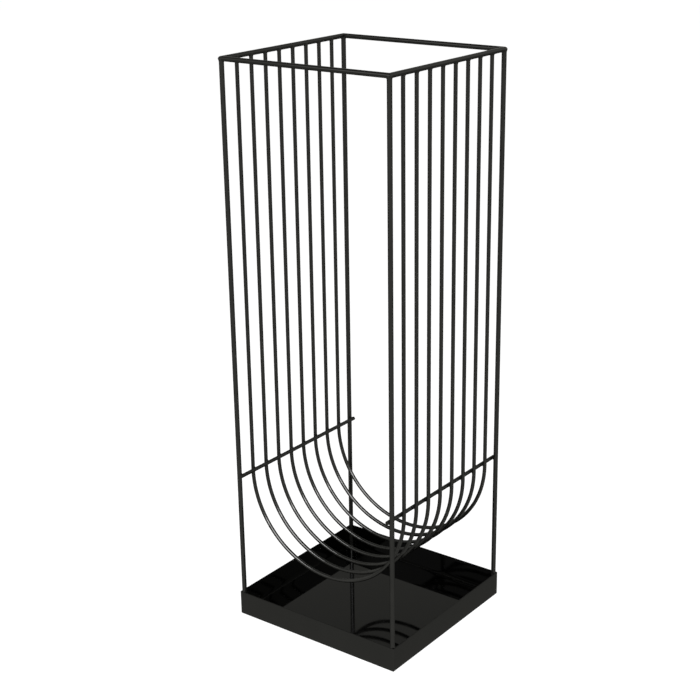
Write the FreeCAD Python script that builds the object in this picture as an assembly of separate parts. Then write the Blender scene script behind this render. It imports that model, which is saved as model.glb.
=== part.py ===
# Wire umbrella stand: a welded frame of steel rods standing in a shallow folded tray.
# Millimetres. The origin is on the floor under the middle of the stand, and +Z is up.
# The side walls, which carry the wires, are at -X (left) and +X (right).
# The front (-Y) and the back (+Y) are open below the top ring.
import FreeCAD, Part
import os
from FreeCAD import Vector

# Overall sizes
overall_height = 600.0   # floor to the top of the ring
tray_length = 203.0      # outside, along X
tray_width = 198.0       # outside, along Y

# Tray
tray_height = 26.5       # underside to rim
sheet = 0.8              # thickness of the tray's steel
bend_radius = 0.6        # inside the tray's folds

# Rods
post_diameter = 5.0
rail_diameter = 5.0
wire_diameter = 4.0
bar_diameter = 4.0
weld_gap = 0.1           # room for the weld between two rods, or a rod and the tray's wall

# Wires and crossbars
wire_count = 8
trough_height = 66.4     # floor to the lowest point of a wire's centre line
bar_above_bend = 0.8     # height of a crossbar over the start of the wires' bend
bar_overhang = 0.3       # a crossbar's end past the outer face of a post

# Foot pads
pad_diameter = 14.0
pad_thickness = 1.0
pad_inset = 13.0         # tray's outer faces to a pad's centre

# Worked out from the sizes above
tray_floor = pad_thickness + sheet
post_x = tray_length / 2 - sheet - weld_gap - post_diameter / 2
post_y = tray_width / 2 - sheet - weld_gap - post_diameter / 2
rail_z = overall_height - rail_diameter / 2
inner_face_x = post_x - post_diameter / 2      # posts and wires are flush on this face
wire_x = inner_face_x + wire_diameter / 2
bar_x = inner_face_x - weld_gap - bar_diameter / 2
bend_z = trough_height + wire_x                # a half circle joins the two legs of a wire
bar_z = bend_z + bar_above_bend

up = Vector(0, 0, 1)
origin = Vector(0, 0, 0)
side_signs = {"left": -1, "right": 1}          # along X
end_signs = {"front": -1, "back": 1}           # along Y

# Each rail of the ring: its turn about Z from the front rail, its half length, and how far it is
# from the middle of the stand
rail_places = {
    "front": (0, post_x, post_y),
    "right": (90, post_y, post_x),
    "back": (180, post_x, post_y),
    "left": (270, post_y, post_x),
}


def top_rail(place, diameter):
    """A rail of the ring, mitred so that its ends meet its neighbours face to face."""
    turn, half_length, distance = rail_places[place]
    spare = diameter
    start = Vector(-half_length - spare, -distance, rail_z)
    blank = Part.makeCylinder(diameter / 2, 2 * (half_length + spare), start, Vector(1, 0, 0))
    corners = []
    for end, outward in ((-1, 1), (1, 1), (1, -1), (-1, -1)):
        corner_x = end * (half_length + outward * spare)
        corners.append(Vector(corner_x, -distance - outward * spare, rail_z - spare))
    corners.append(corners[0])
    between_mitres = Part.Face(Part.makePolygon(corners)).extrude(up * (2 * spare))
    rail = blank.common(between_mitres).Solids[0]
    rail.rotate(origin, up, turn)
    return rail


def cope(rod, places):
    """Cut a rod's top to the round underside of the rails that it is welded to."""
    for place in places:
        rod = rod.cut(top_rail(place, rail_diameter + 2 * weld_gap))
    return rod.Solids[0]


def post(side, end):
    """A corner post, from the tray's floor to the ring, chamfered to clear the tray's folds."""
    foot = Vector(side_signs[side] * post_x, end_signs[end] * post_y, tray_floor)
    blank = Part.makeCylinder(post_diameter / 2, rail_z - tray_floor, foot)
    chamfer = bend_radius + weld_gap
    foot_edges = [edge for edge in blank.Edges if edge.BoundBox.ZMax < tray_floor + chamfer]
    return cope(blank.makeChamfer(chamfer, foot_edges), (side, end))


def u_wire(y):
    """A wire that runs down the left wall, round in a half circle and up the right wall."""
    left_top, left_bend = Vector(-wire_x, y, rail_z), Vector(-wire_x, y, bend_z)
    right_top, right_bend = Vector(wire_x, y, rail_z), Vector(wire_x, y, bend_z)
    lowest = Vector(0, y, trough_height)
    path = Part.Wire([
        Part.LineSegment(left_top, left_bend).toShape(),
        Part.Arc(left_bend, lowest, right_bend).toShape(),
        Part.LineSegment(right_bend, right_top).toShape(),
    ])
    section = Part.Wire(Part.Circle(left_top, up, wire_diameter / 2).toShape())
    return cope(path.makePipeShell([section], True, True), ("left", "right"))


def crossbar(side):
    """The rod across the inner faces of a side wall's posts and wires."""
    half_length = post_y + post_diameter / 2 + bar_overhang
    start = Vector(side_signs[side] * bar_x, -half_length, bar_z)
    return Part.makeCylinder(bar_diameter / 2, 2 * half_length, start, Vector(0, 1, 0))


def tub(length, width, bottom, top, radius):
    """A block centred on the origin, with every edge rounded except those of its top."""
    block = Part.makeBox(length, width, top - bottom, Vector(-length / 2, -width / 2, bottom))
    rounded = [edge for edge in block.Edges if edge.CenterOfMass.z < top - radius]
    return block.makeFillet(radius, rounded)


def tray():
    """The drip tray, folded from one sheet with its corners welded."""
    rim = pad_thickness + tray_height
    outside = tub(tray_length, tray_width, pad_thickness, rim, bend_radius + sheet)
    inside = tub(tray_length - 2 * sheet, tray_width - 2 * sheet, tray_floor, rim + sheet, bend_radius)
    return outside.cut(inside).Solids[0]


def foot_pad(side, end):
    """A stick-on pad under a corner of the tray."""
    x = side_signs[side] * (tray_length / 2 - pad_inset)
    y = end_signs[end] * (tray_width / 2 - pad_inset)
    return Part.makeCylinder(pad_diameter / 2, pad_thickness, Vector(x, y, 0))


def all_pieces():
    """Every piece of the stand by its node's name."""
    pieces = {"tray": tray()}
    for side in side_signs:
        pieces[f"crossbar_{side}"] = crossbar(side)
        for end in end_signs:
            pieces[f"post_{end}_{side}"] = post(side, end)
            pieces[f"foot_pad_{end}_{side}"] = foot_pad(side, end)
    for place in rail_places:
        pieces[f"top_rail_{place}"] = top_rail(place, rail_diameter)
    pitch = 2 * post_y / (wire_count + 1)
    for number in range(1, wire_count + 1):
        pieces[f"u_wire_{number}"] = u_wire(number * pitch - post_y)
    return pieces


os.makedirs("parts", exist_ok=True)
for name, shape in all_pieces().items():
    shape.exportStep(f"parts/{name}.step")
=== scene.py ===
import math

import bmesh
import bpy
import numpy as np
from mathutils import Matrix, Vector, noise


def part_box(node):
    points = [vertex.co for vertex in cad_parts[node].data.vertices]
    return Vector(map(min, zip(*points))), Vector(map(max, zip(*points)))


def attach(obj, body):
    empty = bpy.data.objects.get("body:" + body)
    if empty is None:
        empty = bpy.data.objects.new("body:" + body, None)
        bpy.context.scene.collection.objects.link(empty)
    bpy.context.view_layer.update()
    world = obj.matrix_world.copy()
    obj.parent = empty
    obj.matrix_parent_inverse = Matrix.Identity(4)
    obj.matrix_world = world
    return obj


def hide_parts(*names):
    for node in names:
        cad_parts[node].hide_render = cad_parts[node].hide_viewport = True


# Wire umbrella stand: the looks of its rods, welds, tray and foot pads, and the studio round it. Metres.

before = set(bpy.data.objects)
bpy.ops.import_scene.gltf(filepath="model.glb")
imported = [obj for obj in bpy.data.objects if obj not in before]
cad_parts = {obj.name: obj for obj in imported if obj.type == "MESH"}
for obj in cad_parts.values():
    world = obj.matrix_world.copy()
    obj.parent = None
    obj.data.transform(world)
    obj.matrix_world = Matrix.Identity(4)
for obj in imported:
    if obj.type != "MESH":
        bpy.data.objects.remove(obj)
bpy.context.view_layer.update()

MM = 0.001

# Detail that the CAD leaves out
weld_reach = 1.8 * MM        # how far weld metal spreads from the corner between two pieces
weld_lump = 0.9 * MM         # size of the lumps in a weld
weld_unevenness = 0.35       # share of a weld's height that its lumps add or take away
set_down = 0.3 * MM          # how deep a crossbar is pressed into the rods that it is welded to
sink = 0.1 * MM              # how deep a post's foot stands in the weld on the tray's floor
end_round = 0.45 * MM        # rounding at a crossbar's cut ends
mitre_round = 0.5 * MM       # rounding at the outer tips of the ring's mitred corners
rim_round = 0.3 * MM         # rounding along the tray's rim
bend_radius = 0.25 * MM      # inside the tray's folds
pad_round = 0.3 * MM         # rounding at a foot pad's edges
adhesive = 0.2 * MM          # thickness of the adhesive that holds a foot pad

# How finely the meshes are cut
rod_sides = 32
fine_step = 0.4 * MM         # between rings near a weld
coarse_step = 8 * MM         # between rings on a plain straight run
arc_step = 1.6 * MM          # between rings round a bend
round_steps = 5              # across a rounded edge
corner_steps = 8             # round a corner of the tray
side_steps = 16              # along a side of the tray
wall_steps = 8               # up a wall of the tray
sharp_angle = math.radians(40)             # edges that turn by more than this stay sharp

side_signs = {"left": -1, "right": 1}      # along X
end_signs = {"front": -1, "back": 1}       # along Y
wire_count = sum(name.startswith("u_wire_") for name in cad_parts)
wire_numbers = range(1, wire_count + 1)

# Sizes and places, read from the frame
tray_low, tray_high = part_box("tray")
post_low, post_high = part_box("post_back_right")
rail_low, rail_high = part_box("top_rail_back")
wire_low, wire_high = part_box("u_wire_1")
bar_low, bar_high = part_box("crossbar_right")
floor_z = post_low.z
sheet = floor_z - tray_low.z
rim_z = tray_high.z
post_radius = (post_high.x - post_low.x) / 2
post_x, post_y = post_high.x - post_radius, post_high.y - post_radius
rail_radius = (rail_high.z - rail_low.z) / 2
rail_z = rail_high.z - rail_radius
under_rail = rail_low.z
wire_radius = (wire_high.y - wire_low.y) / 2
wire_x = wire_high.x - wire_radius
bend_z = wire_low.z + wire_radius + wire_x
bar_radius = (bar_high.z - bar_low.z) / 2
bar_z = bar_high.z - bar_radius
bar_x = post_x - post_radius - bar_radius + set_down
bar_half = bar_high.y


# What weld metal fills a corner against

class Straight:
    """A straight run of round rod."""

    def __init__(self, start, end, radius):
        self.start, self.end, self.radius = np.array(start), np.array(end), radius

    def distance(self, points):
        along = self.end - self.start
        share = np.clip((points - self.start) @ along / (along @ along), 0, 1)
        nearest = self.start + share[:, None] * along
        return np.linalg.norm(points - nearest, axis=1) - self.radius


class Wall:
    """The inner face of one of the tray's walls, up to the rim. axis is 0 for X or 1 for Y."""

    def __init__(self, axis, sign, place):
        self.axis, self.sign, self.place = axis, sign, place

    def distance(self, points):
        inward = self.place - self.sign * points[:, self.axis]
        return np.hypot(inward, np.maximum(points[:, 2] - rim_z, 0))


class Floor:
    """The tray's floor."""

    def distance(self, points):
        return points[:, 2] - floor_z


def upright(x, y, low, radius):
    """A vertical run that ends under the ring."""
    return Straight((x, y, low), (x, y, under_rail), radius)


posts = {
    (side, end): upright(sx * post_x, sy * post_y, floor_z, post_radius)
    for side, sx in side_signs.items()
    for end, sy in end_signs.items()
}
bars = {
    side: Straight((sx * bar_x, -bar_half, bar_z), (sx * bar_x, bar_half, bar_z), bar_radius)
    for side, sx in side_signs.items()
}
side_rails = {
    side: Straight((sx * post_x, -post_y, rail_z), (sx * post_x, post_y, rail_z), rail_radius)
    for side, sx in side_signs.items()
}
end_rails = {
    end: Straight((-post_x, sy * post_y, rail_z), (post_x, sy * post_y, rail_z), rail_radius)
    for end, sy in end_signs.items()
}
wire_places = {number: sum(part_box(f"u_wire_{number}"), Vector()).y / 2 for number in wire_numbers}
legs = {
    (side, number): upright(sx * wire_x, y, bend_z, wire_radius)
    for side, sx in side_signs.items()
    for number, y in wire_places.items()
}


def uprights_on(side):
    """The posts of a side wall and the legs of its wires."""
    return [run for (run_side, _), run in [*posts.items(), *legs.items()] if run_side == side]


def swell(points, outward, neighbours):
    """Points moved outward where a neighbour is near, as uneven weld metal fills the corner."""
    lift = np.zeros(len(points))
    for neighbour in neighbours:
        # A quarter of weld_reach where the two touch, and hollowed out to nothing at weld_reach
        gap = np.clip(neighbour.distance(points), 0, weld_reach)
        lift = np.maximum(lift, (weld_reach - gap) ** 2 / (4 * weld_reach))
    for index in np.nonzero(lift)[0]:
        lump = noise.noise(Vector(points[index] / weld_lump))
        lift[index] *= 1 + weld_unevenness * lump
    return points + outward * lift[:, None]


# Mesh building

def add_mesh(name, points, faces, materials, material_of_face=None):
    """A smooth-shaded mesh object whose sharp edges stay sharp."""
    mesh = bpy.data.meshes.new(name)
    mesh.from_pydata([tuple(point) for point in points], [], faces)
    for material in materials:
        mesh.materials.append(material)
    if material_of_face is not None:
        mesh.polygons.foreach_set("material_index", material_of_face)
    shape = bmesh.new()
    shape.from_mesh(mesh)
    bmesh.ops.recalc_face_normals(shape, faces=shape.faces)
    shape.to_mesh(mesh)
    shape.free()
    mesh.shade_smooth()
    mesh.set_sharp_from_angle(angle=sharp_angle)
    made = bpy.data.objects.new(name, mesh)
    bpy.context.scene.collection.objects.link(made)
    return made


def skin(rings):
    """The points and faces of a skin over closed rings of equal length, with a flat cap at each end."""
    count = len(rings[0])
    faces = [tuple(range(count))]
    for ring in range(len(rings) - 1):
        for index in range(count):
            after = (index + 1) % count
            low, high = ring * count, (ring + 1) * count
            faces.append((low + index, low + after, high + after, high + index))
    last = (len(rings) - 1) * count
    faces.append(tuple(range(last, last + count)))
    return np.concatenate(rings), faces


def stations(length, welds, step, rounding=0):
    """Places along a rod: close together at rounded ends and near welds, further apart elsewhere."""
    zone = post_radius + weld_reach
    spans = [(0, length, step)] + [(weld - zone, weld + zone, fine_step) for weld in welds]
    places = []
    for low, high, gap in spans:
        low, high = max(low, 0), min(high, length)
        places.extend(np.linspace(low, high, math.ceil((high - low) / gap) + 1))
    near_end = [rounding * (1 - math.sin(turn)) for turn in np.linspace(0, math.pi / 2, round_steps + 1)]
    clear = max(fine_step / 2, 1.2 * rounding)
    kept = []
    for place in sorted(places):
        if clear < place < length - clear and (not kept or place - kept[-1] > fine_step / 2):
            kept.append(place)
    if not rounding:
        return np.array([0, *kept, length])
    return np.array([*sorted(near_end), *kept, *sorted(length - place for place in near_end)])


def edge_drop(distance, rounding):
    """How far a rounded edge lies inside the plain surface, at a distance from the end."""
    into = np.clip(rounding - distance, 0, rounding)
    return rounding - np.sqrt(rounding ** 2 - into ** 2)


def rod_rings(frames, radius):
    """Rings round a path. Each frame is a centre and two directions across the path."""
    turns = np.linspace(0, 2 * math.pi, rod_sides, endpoint=False)
    rings, outwards = [], []
    for centre, first, second in frames:
        outward = np.outer(np.cos(turns), first) + np.outer(np.sin(turns), second)
        rings.append(np.array(centre) + radius * outward)
        outwards.append(outward)
    return rings, outwards


def welded_skin(rings, outwards, neighbours):
    """The skin over a rod's rings, with weld metal where its neighbours meet it."""
    count = len(rings[0])
    points = swell(np.concatenate(rings), np.concatenate(outwards), neighbours)
    return skin([points[low:low + count] for low in range(0, len(points), count)])


def finish_piece(piece, node):
    """Puts a piece in the place of its CAD node."""
    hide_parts(node)
    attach(piece, "root")


# Pieces

def corner_post(side, end, material):
    """A post, welded to the tray's corner, the crossbar and the ring."""
    post = posts[side, end]
    x, y = post.start[0], post.start[1]
    foot_z = floor_z - sink
    length = rail_z - foot_z
    welds = [bar_z - foot_z, length - rail_radius]
    places = stations(length, welds, coarse_step)
    in_tray = np.arange(0, rim_z + 2 * weld_reach - foot_z, fine_step)
    places = np.array([*in_tray, *places[places > in_tray[-1] + fine_step / 2]])
    frames = [((x, y, foot_z + place), (1, 0, 0), (0, 1, 0)) for place in places]
    rings, outwards = rod_rings(frames, post_radius)
    sx, sy = side_signs[side], end_signs[end]
    walls = [Wall(0, sx, tray_high.x - sheet), Wall(1, sy, tray_high.y - sheet)]
    neighbours = [side_rails[side], end_rails[end], bars[side], Floor(), *walls]
    points, faces = welded_skin(rings, outwards, neighbours)
    piece = add_mesh(f"corner_post_{end}_{side}", points, faces, [material])
    finish_piece(piece, f"post_{end}_{side}")


def ring_rail(place, run, out, neighbours, material):
    """A rail of the ring. Its ends lie in the mitres, and the mitres' outer tips are rounded."""
    middle, half = (run.start + run.end) / 2, np.linalg.norm(run.end - run.start) / 2
    along = (run.end - run.start) / (2 * half)
    welds = [(neighbour.start - run.start) @ along for neighbour in neighbours]
    places = stations(2 * half, welds, coarse_step, mitre_round)
    frames = [(run.start + along * place, out, (0, 0, 1)) for place in places]
    rings, outwards = rod_rings(frames, rail_radius)
    for place_along, ring, outward in zip(places, rings, outwards, strict=True):
        to_end = min(place_along, 2 * half - place_along)
        drop = edge_drop(to_end, mitre_round)
        facing_out = np.maximum(outward @ out, 0)
        ring -= np.outer(facing_out * drop, out)
        sheared = (ring - middle) @ out * (place_along / half - 1)
        ring += np.outer(sheared, along)
    points, faces = welded_skin(rings, outwards, neighbours)
    piece = add_mesh(f"ring_rail_{place}", points, faces, [material])
    finish_piece(piece, f"top_rail_{place}")
    return piece


def bent_wire_frame(y, place):
    """The centre and the directions across a U wire, at a place along it from its left top end."""
    leg = rail_z - bend_z
    arc = math.pi * wire_x
    if place < leg:
        return (-wire_x, y, rail_z - place), (-1, 0, 0), (0, 1, 0)
    if place > leg + arc:
        return (wire_x, y, bend_z + place - leg - arc), (1, 0, 0), (0, 1, 0)
    turn = (place - leg) / wire_x
    out = (-math.cos(turn), 0, -math.sin(turn))
    return (out[0] * wire_x, y, bend_z + out[2] * wire_x), out, (0, 1, 0)


def bent_wire(number, material):
    """A U wire, welded to the ring and to both crossbars."""
    leg, arc = rail_z - bend_z, math.pi * wire_x
    length = 2 * leg + arc
    bar_weld, ring_weld = rail_z - bar_z, rail_radius
    welds = [ring_weld, bar_weld, length - bar_weld, length - ring_weld]
    straight = stations(length, welds, coarse_step)
    bend = np.linspace(leg, leg + arc, math.ceil(arc / arc_step) + 1)
    nearest = np.abs(straight[:, None] - bend).min(axis=1)
    outside_bend = (straight < leg) | (straight > leg + arc)
    near_weld = np.abs(straight[:, None] - np.array(welds)).min(axis=1) < post_radius + weld_reach
    kept = straight[(outside_bend | near_weld) & (nearest > fine_step / 4)]
    places = np.sort(np.concatenate([kept, bend]))
    frames = [bent_wire_frame(wire_places[number], place) for place in places]
    rings, outwards = rod_rings(frames, wire_radius)
    neighbours = [*side_rails.values(), *bars.values()]
    points, faces = welded_skin(rings, outwards, neighbours)
    piece = add_mesh(f"bent_wire_{number}", points, faces, [material])
    finish_piece(piece, f"u_wire_{number}")


def cross_rod(side, material):
    """A crossbar, pressed and welded into the inner faces of a wall's posts and wires."""
    bar = bars[side]
    crossed = uprights_on(side)
    places = stations(2 * bar_half, [run.start[1] + bar_half for run in crossed], coarse_step, end_round)
    frames = [((bar.start[0], place - bar_half, bar_z), (1, 0, 0), (0, 0, 1)) for place in places]
    rings, outwards = rod_rings(frames, bar_radius)
    for place, ring, outward in zip(places, rings, outwards, strict=True):
        ring -= outward * edge_drop(min(place, 2 * bar_half - place), end_round)
    points, faces = welded_skin(rings, outwards, crossed)
    piece = add_mesh(f"cross_rod_{side}", points, faces, [material])
    finish_piece(piece, f"crossbar_{side}")
    return piece


def tray_ring(inset, z):
    """Points round the tray at an inset from its outer faces, with rounded corners."""
    radius = max(bend_radius + sheet - inset, bend_radius / 2)
    reach_x, reach_y = tray_high.x - inset - radius, tray_high.y - inset - radius
    corners = [(1, 1), (-1, 1), (-1, -1), (1, -1)]
    points = []
    for quarter, (cx, cy) in enumerate(corners):
        start = quarter * math.pi / 2
        for turn in np.linspace(start, start + math.pi / 2, corner_steps + 1):
            points.append((cx * reach_x + radius * math.cos(turn), cy * reach_y + radius * math.sin(turn), z))
        last = np.array(points[-1])
        nx, ny = corners[(quarter + 1) % len(corners)]
        following = last.copy()
        axis = quarter % 2
        following[axis] = (nx * reach_x, ny * reach_y)[axis]
        for step in range(1, side_steps):
            points.append(tuple(last + (following - last) * step / side_steps))
    return np.array(points)


def tray_profile():
    """Insets and heights, from the middle of the tray's floor over its rim, and on to its underside."""
    outer_radius = bend_radius + sheet
    flat = [tray_high.y * share for share in (0.97, 0.8, 0.6, 0.4, 0.2, 0.08)]
    quarter = np.linspace(0, math.pi / 2, round_steps + 1)
    wall = np.linspace(0, 1, wall_steps + 1)[1:-1]
    inside = [(inset, floor_z) for inset in flat]
    inside += [
        (outer_radius - bend_radius * math.sin(turn), floor_z + bend_radius * (1 - math.cos(turn)))
        for turn in quarter
    ]
    low, high = floor_z + bend_radius, rim_z - rim_round
    inside += [(sheet, low + (high - low) * share) for share in wall]
    rim = [(sheet - rim_round * (1 - math.cos(turn)), high + rim_round * math.sin(turn)) for turn in quarter]
    rim += [(rim_round * (1 - math.sin(turn)), high + rim_round * math.cos(turn)) for turn in quarter]
    low = tray_low.z + outer_radius
    outside = [(0, high - (high - low) * share) for share in wall]
    outside += [
        (outer_radius * (1 - math.cos(turn)), low - outer_radius * math.sin(turn))
        for turn in quarter
    ]
    outside += [(inset, tray_low.z) for inset in reversed(flat)]
    return inside + rim, outside


def folded_tray(inside_material, outside_material):
    """The drip tray, with its folds and rim rounded. Its inside has a glossier coat."""
    inside, outside = tray_profile()
    points, faces = skin([tray_ring(inset, z) for inset, z in inside + outside])
    count = len(tray_ring(0, 0))
    glossy_faces = 1 + (len(inside) - 1) * count
    material_of_face = [0 if index < glossy_faces else 1 for index in range(len(faces))]
    piece = add_mesh("folded_tray", points, faces, [inside_material, outside_material], material_of_face)
    finish_piece(piece, "tray")
    return piece


def rubber_pad(side, end, material):
    """A foot pad: a rounded disc on a thinner layer of adhesive."""
    low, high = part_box(f"foot_pad_{end}_{side}")
    centre, radius, top = (low + high) / 2, (high.x - low.x) / 2, high.z - adhesive
    quarter = np.linspace(0, math.pi / 2, round_steps + 1)
    flat, edge = radius / 2, radius - pad_round
    profile = [(flat, low.z)]
    for turn in quarter:
        profile.append((edge + pad_round * math.sin(turn), low.z + pad_round * (1 - math.cos(turn))))
    for turn in quarter:
        profile.append((edge + pad_round * math.cos(turn), top - pad_round * (1 - math.sin(turn))))
    profile += [(edge, top), (edge, high.z), (flat, high.z)]
    turns = np.linspace(0, 2 * math.pi, 2 * rod_sides, endpoint=False)
    rings = [
        np.column_stack([centre.x + r * np.cos(turns), centre.y + r * np.sin(turns), np.full(len(turns), z)])
        for r, z in profile
    ]
    points, faces = skin(rings)
    piece = add_mesh(f"rubber_pad_{end}_{side}", points, faces, [material])
    finish_piece(piece, f"foot_pad_{end}_{side}")


# Materials

range_sockets = ("From Min", "From Max", "To Min", "To Max")


class Nodes:
    """A new material's nodes, and short ways to add to them."""

    def __init__(self, name):
        self.material = bpy.data.materials.new(name)
        self.material.use_nodes = True
        self.tree = self.material.node_tree
        self.shader = self.tree.nodes["Principled BSDF"]
        self.place = self.add("ShaderNodeTexCoord").outputs["Object"]

    def add(self, kind, **settings):
        node = self.tree.nodes.new(kind)
        for key, value in settings.items():
            setattr(node, key, value)
        return node

    def join(self, output, target):
        self.tree.links.new(output, target)

    def speckle(self, size, detail=2.0):
        """Noise with features of about a given size in metres."""
        node = self.add("ShaderNodeTexNoise")
        node.inputs["Scale"].default_value = 1 / size
        node.inputs["Detail"].default_value = detail
        self.join(self.place, node.inputs["Vector"])
        return node.outputs["Fac"]

    def spread(self, value, low, high, from_low=0.35, from_high=0.65):
        """A value from noise, spread over a range."""
        node = self.add("ShaderNodeMapRange")
        for socket, number in zip(range_sockets, (from_low, from_high, low, high)):
            node.inputs[socket].default_value = number
        self.join(value, node.inputs["Value"])
        return node.outputs["Result"]

    def blend(self, share, first, second):
        """Two colours mixed. Each is three numbers or another node's output."""
        node = self.add("ShaderNodeMix", data_type="RGBA")
        self.join(share, node.inputs["Factor"])
        for colour, socket in ((first, node.inputs["A"]), (second, node.inputs["B"])):
            if isinstance(colour, tuple):
                socket.default_value = (*colour, 1)
            else:
                self.join(colour, socket)
        return node.outputs["Result"]

    def bump(self, height, depth, strength=1.0, under=None):
        """A bump of a given depth in metres, over another bump or on its own."""
        node = self.add("ShaderNodeBump")
        node.inputs["Strength"].default_value = strength
        node.inputs["Distance"].default_value = depth
        self.join(height, node.inputs["Height"])
        if under is not None:
            self.join(under, node.inputs["Normal"])
        return node.outputs["Normal"]


def rod_coat():
    """Glossy black powder coat with a fine orange peel, uneven in colour and paler on worn edges."""
    nodes = Nodes("black_powder_coat")
    mottle = nodes.spread(nodes.speckle(18 * MM), 0, 1)
    shade = nodes.blend(mottle, (0.0026, 0.0026, 0.0024), (0.0040, 0.0040, 0.0037))
    edges = nodes.add("ShaderNodeNewGeometry").outputs["Pointiness"]
    wear = nodes.add("ShaderNodeMath", operation="MULTIPLY")
    nodes.join(nodes.spread(edges, 0, 0.5, from_low=0.54, from_high=0.62), wear.inputs[0])
    nodes.join(nodes.spread(nodes.speckle(3 * MM), 0, 1), wear.inputs[1])
    nodes.join(nodes.blend(wear.outputs[0], shade, (0.020, 0.020, 0.019)), nodes.shader.inputs["Base Color"])
    nodes.join(nodes.spread(nodes.speckle(7 * MM), 0.09, 0.13), nodes.shader.inputs["Roughness"])
    peel = nodes.bump(nodes.speckle(1.3 * MM, detail=1.0), 0.005 * MM, strength=0.6)
    grain = nodes.bump(nodes.speckle(0.3 * MM, detail=0.0), 0.001 * MM, strength=0.6, under=peel)
    nodes.join(grain, nodes.shader.inputs["Normal"])
    return nodes.material


def inside_coat():
    """The smoother, deeper black inside of the tray, with faint smudges."""
    nodes = Nodes("smooth_black_coat")
    mottle = nodes.spread(nodes.speckle(30 * MM), 0, 1)
    shade = nodes.blend(mottle, (0.0012, 0.0012, 0.0012), (0.0020, 0.0020, 0.0019))
    nodes.join(shade, nodes.shader.inputs["Base Color"])
    nodes.shader.inputs["IOR"].default_value = 1.33
    smudges = nodes.speckle(22 * MM, detail=4.0)
    nodes.join(nodes.spread(smudges, 0.03, 0.06), nodes.shader.inputs["Roughness"])
    ripple = nodes.bump(nodes.speckle(4 * MM, detail=1.0), 0.001 * MM, strength=0.5)
    nodes.join(ripple, nodes.shader.inputs["Normal"])
    return nodes.material


def pad_rubber():
    """Matt black rubber with a fine grain."""
    nodes = Nodes("matt_black_rubber")
    mottle = nodes.spread(nodes.speckle(4 * MM), 0, 1)
    shade = nodes.blend(mottle, (0.014, 0.014, 0.014), (0.022, 0.022, 0.021))
    nodes.join(shade, nodes.shader.inputs["Base Color"])
    nodes.join(nodes.spread(nodes.speckle(2 * MM), 0.75, 0.9), nodes.shader.inputs["Roughness"])
    grain = nodes.bump(nodes.speckle(0.3 * MM), 0.03 * MM, strength=0.5)
    nodes.join(grain, nodes.shader.inputs["Normal"])
    return nodes.material


# Studio

# Angles are in degrees. An azimuth is measured from the front (-Y) towards the right (+X).
view_azimuth = 37.372
view_drop = 19.643                         # how far down the camera looks
view_roll = -0.888
view_place = (0.8371, -1.1259, 0.7968)
focal_length, sensor_width = 74.434, 36.0  # millimetres
lamp_distance = 2.6                        # from the middle of the stand to each soft light


def glowing(name, glow, albedo):
    """A pale matt material that also gives off its own light, so that it stays even."""
    nodes = Nodes(name)
    nodes.shader.inputs["Base Color"].default_value = (albedo, albedo, albedo, 1)
    nodes.shader.inputs["Roughness"].default_value = 1.0
    nodes.shader.inputs["Specular IOR Level"].default_value = 0.0
    nodes.shader.inputs["Emission Color"].default_value = (1, 1, 1, 1)
    nodes.shader.inputs["Emission Strength"].default_value = glow
    return nodes.material


def studio():
    """A wide pale floor and a pale dome, which only the camera sees."""
    steps, dome_rings, dome_radius = 64, 13, 12.0
    dip = 0.02                             # radians that the dome reaches below the floor
    turns = np.linspace(0, 2 * math.pi, steps, endpoint=False)

    def circle(radius, z):
        return np.column_stack([radius * np.cos(turns), radius * np.sin(turns), np.full(steps, z)])

    floor_mesh = bpy.data.meshes.new("studio_floor")
    floor_mesh.from_pydata([tuple(point) for point in circle(dome_radius, 0)], [], [tuple(range(steps))])
    floor_mesh.materials.append(glowing("pale_floor", glow=0.97, albedo=0.10))
    floor = bpy.data.objects.new("studio_floor", floor_mesh)
    bpy.context.scene.collection.objects.link(floor)
    rises = np.linspace(-dip, math.pi / 2 - dip, dome_rings)
    rings = [circle(dome_radius * math.cos(rise), dome_radius * math.sin(rise)) for rise in rises]
    points, faces = skin(rings)
    dome = add_mesh("studio_dome", points, faces[1:], [glowing("pale_dome", glow=1.0, albedo=0.0)])
    for stage in (floor, dome):
        stage.visible_diffuse = False
        stage.visible_glossy = False
        stage.visible_shadow = False


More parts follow.
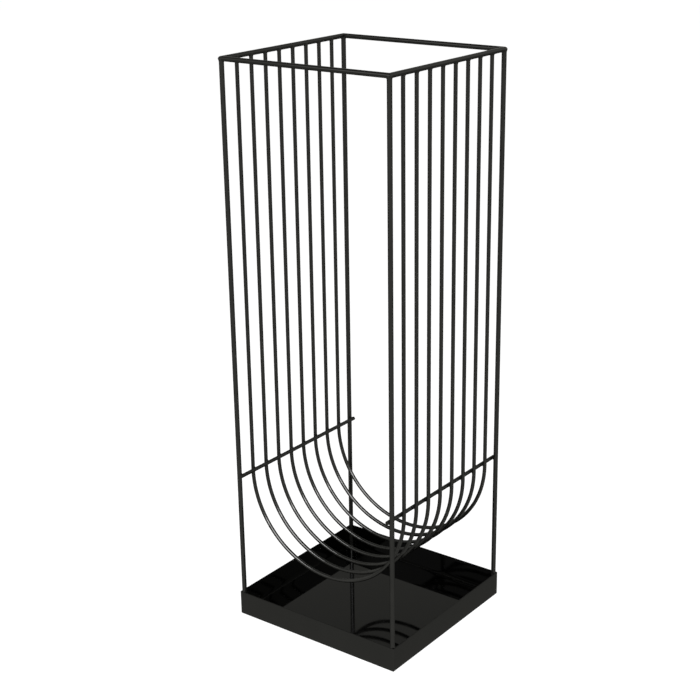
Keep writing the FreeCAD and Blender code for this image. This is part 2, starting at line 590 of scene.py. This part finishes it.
def surroundings():
    """The room that the coat reflects: pale on the camera's side, and dimmer behind and overhead."""
    world = bpy.data.worlds.new("studio_surroundings")
    world.use_nodes = True
    tree = world.node_tree

    def ramp(value, ends, levels, blend="SMOOTHSTEP"):
        """Goes from the first level to the second as a value goes from the first end to the second."""
        node = tree.nodes.new("ShaderNodeMapRange")
        node.interpolation_type = blend
        for socket, number in zip(range_sockets, (*ends, *levels)):
            node.inputs[socket].default_value = number
        tree.links.new(value, node.inputs["Value"])
        return node.outputs["Result"]

    def combine(operation, *values):
        node = tree.nodes.new("ShaderNodeMath")
        node.operation = operation
        for value, socket in zip(values, node.inputs):
            tree.links.new(value, socket)
        return node.outputs[0]

    direction = tree.nodes.new("ShaderNodeTexCoord").outputs["Generated"]
    parts = tree.nodes.new("ShaderNodeSeparateXYZ")
    tree.links.new(direction, parts.inputs[0])
    rise = parts.outputs["Z"]
    front = tree.nodes.new("ShaderNodeVectorMath")
    front.operation = "DOT_PRODUCT"
    azimuth = math.radians(view_azimuth)
    front.inputs[1].default_value = (math.sin(azimuth), -math.cos(azimuth), 0)
    tree.links.new(direction, front.inputs[0])
    facing = front.outputs["Value"]
    horizon = (-0.03, 0.03)
    walls = ramp(facing, ends=(-0.95, 0.3), levels=(0.32, 0.72))
    ceiling = ramp(rise, ends=(0.4, 0.9), levels=(1.0, 0.25))
    ground = ramp(facing, ends=(-0.88, 0.63), levels=(0.0, 0.555), blend="LINEAR")
    room = combine("MULTIPLY", walls, ceiling)
    above = combine("MULTIPLY", room, ramp(rise, horizon, levels=(0.0, 1.0)))
    below = combine("MULTIPLY", ground, ramp(rise, horizon, levels=(1.0, 0.0)))
    tree.links.new(combine("ADD", above, below), tree.nodes["Background"].inputs["Strength"])
    tree.nodes["Background"].inputs["Color"].default_value = (1.0, 1.0, 0.92, 1)
    bpy.context.scene.world = world


def softbox(name, azimuth, elevation, width, height, power, roll=0):
    """A soft light aimed at the middle of the stand, and turned about its aim by its roll."""
    target = Vector((0, 0, rail_z / 2))
    lamp = bpy.data.lights.new(name, "AREA")
    lamp.shape = "RECTANGLE"
    lamp.size, lamp.size_y = width, height
    lamp.energy = power
    light = bpy.data.objects.new(name, lamp)
    swing, tip = math.radians(azimuth), math.radians(90 - elevation)
    aim = Matrix.Rotation(swing, 3, "Z") @ Matrix.Rotation(tip, 3, "X")
    turn = aim @ Matrix.Rotation(math.radians(roll), 3, "Z")
    light.matrix_world = Matrix.Translation(target + aim @ Vector((0, 0, lamp_distance))) @ turn.to_4x4()
    bpy.context.scene.collection.objects.link(light)
    return light


def shield(light, pieces):
    """Keeps a light off some pieces, as flags beside the lamp would."""
    shielded = bpy.data.collections.new(f"shielded_from_{light.name}")
    for piece in pieces:
        shielded.objects.link(piece)
    for member in shielded.collection_objects:
        member.light_linking.link_state = "EXCLUDE"
    light.light_linking.receiver_collection = shielded


def camera():
    """A camera at the front right, a little above the ring, tilted down at the stand."""
    lens = bpy.data.cameras.new("camera")
    lens.sensor_width = sensor_width
    lens.lens = focal_length
    lens.clip_end = 200.0
    view = bpy.data.objects.new("camera", lens)
    turn = (
        Matrix.Rotation(math.radians(view_azimuth), 3, "Z")
        @ Matrix.Rotation(math.radians(90 - view_drop), 3, "X")
        @ Matrix.Rotation(math.radians(view_roll), 3, "Z")
    )
    view.matrix_world = Matrix.Translation(view_place) @ turn.to_4x4()
    bpy.context.scene.collection.objects.link(view)
    bpy.context.scene.camera = view


def stand():
    """Every piece of the umbrella stand. Returns the level ones: the rails, crossbars and tray."""
    coat = rod_coat()
    level = []
    for side, sx in side_signs.items():
        level.append(ring_rail(side, side_rails[side], np.array([sx, 0, 0]), uprights_on(side), coat))
        level.append(cross_rod(side, coat))
        for end in end_signs:
            corner_post(side, end, coat)
    for end, sy in end_signs.items():
        at_end = [run for (_, run_end), run in posts.items() if run_end == end]
        level.append(ring_rail(end, end_rails[end], np.array([0, sy, 0]), at_end, coat))
    for number in wire_numbers:
        bent_wire(number, coat)
    rubber = pad_rubber()
    for side in side_signs:
        for end in end_signs:
            rubber_pad(side, end, rubber)
    level.append(folded_tray(inside_coat(), coat))
    return level


camera()
level_pieces = stand()
studio()
surroundings()
key = softbox("key_softbox", azimuth=26, elevation=36, width=2.6, height=1.9, power=160)
strip = softbox("strip_under_key", azimuth=35, elevation=18.5, width=1.6, height=0.2, power=12.5, roll=32)
side = softbox("side_softbox", azimuth=-8, elevation=40, width=1.2, height=0.8, power=24)
for light in (key, strip, side):
    shield(light, level_pieces)
softbox("fill_softbox", azimuth=-20, elevation=29, width=1.7, height=0.9, power=4.5)
bpy.context.scene.view_settings.view_transform = "Standard"
